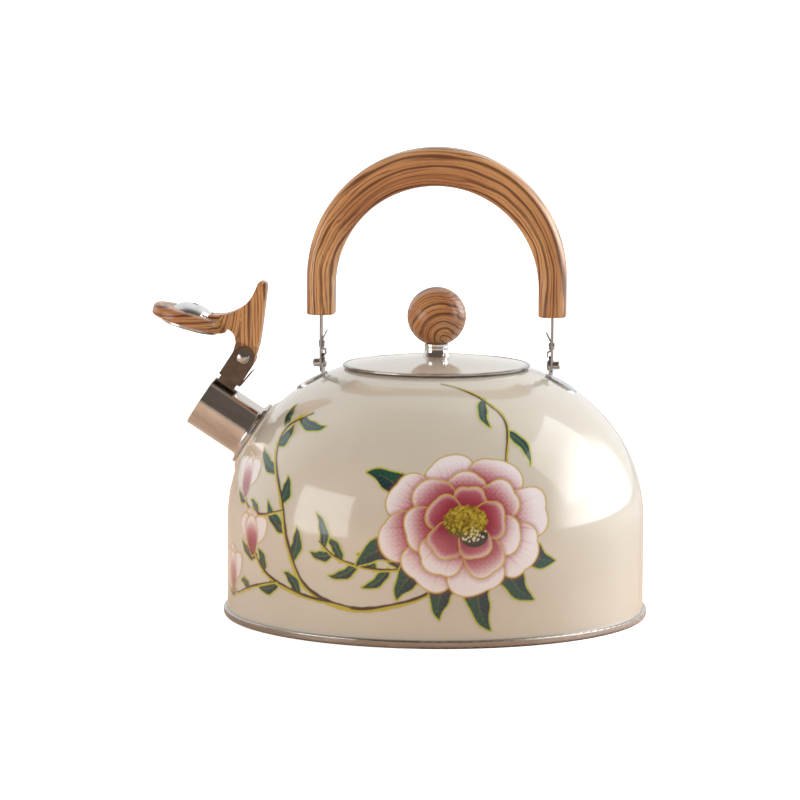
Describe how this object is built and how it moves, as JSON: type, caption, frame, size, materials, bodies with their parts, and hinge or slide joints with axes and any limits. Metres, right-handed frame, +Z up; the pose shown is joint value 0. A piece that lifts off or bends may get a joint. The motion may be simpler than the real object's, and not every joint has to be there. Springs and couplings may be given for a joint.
{
  "type": "stovetop whistling kettle",
  "caption": "Domed stovetop kettle with a short round spout, a flip-up whistle flap, a lift-off lid with a ball knob and a swinging arched handle.",
  "frame": {"origin": "centre of the flat underside that the kettle stands on", "axes": "+Z up, the spout points towards -X, the handle swings about an axis along X"},
  "size_m": [0.2581, 0.22, 0.2426],
  "materials": {
    "cream_enamel": "gloss",
    "rim_steel": "satin",
    "disc_steel": "brushed",
    "spout_steel": "polished",
    "bracket_steel": "polished",
    "rivet_steel": "polished",
    "grain_resin": "semi-gloss grain",
    "plate_steel": "satin",
    "dome_chrome": "polished",
    "lid_edge_steel": "polished",
    "skirt_steel": "satin",
    "insert_brass": "turned",
    "ferrule_chrome": "polished",
    "screw_steel": "zinc plated",
    "strap_steel": "polished",
    "lug_steel": "polished",
    "clip_steel": "spring steel"
  },
  "bodies": {
    "vessel": {"body_shell": "cream_enamel", "base_pan": "rim_steel", "heat_disc": "disc_steel", "spout_tube": "spout_steel", "whistle_bracket": "bracket_steel", "flap_rivet": "rivet_steel", "handle_lug_left": "lug_steel", "handle_lug_right": "lug_steel", "lug_rivet_left": "rivet_steel", "lug_rivet_right": "rivet_steel"},
    "handle": {"handle_strap": "strap_steel", "handle_grip": "grain_resin", "latch_clip_left": "clip_steel", "latch_clip_right": "clip_steel", "clip_rivet_left": "rivet_steel", "clip_rivet_right": "rivet_steel"},
    "lid": {"lid_cover": "cream_enamel", "lid_edge": "lid_edge_steel", "lid_skirt": "skirt_steel", "lid_knob": "grain_resin", "knob_insert": "insert_brass", "knob_ferrule": "ferrule_chrome", "knob_washer": "screw_steel", "knob_screw": "screw_steel"},
    "flap": {"whistle_flap": "grain_resin", "whistle_plate": "plate_steel", "whistle_disc": "plate_steel", "whistle_dome": "dome_chrome"}
  },
  "joints": [
    {"name": "handle_swing", "type": "hinge", "parent": "vessel", "child": "handle", "pos_m": [0, 0, 0.1303], "axis": [1, 0, 0], "range_deg": [-84, 84]},
    {"name": "lid_lift", "type": "slide", "parent": "vessel", "child": "lid", "axis": [0, 0, 1], "range_m": [0, 0.045]},
    {"name": "flap_close", "type": "hinge", "parent": "vessel", "child": "flap", "pos_m": [-0.10008, 0, 0.13273], "axis": [0, -1, 0], "range_deg": [0, 72.5]}
  ]
}
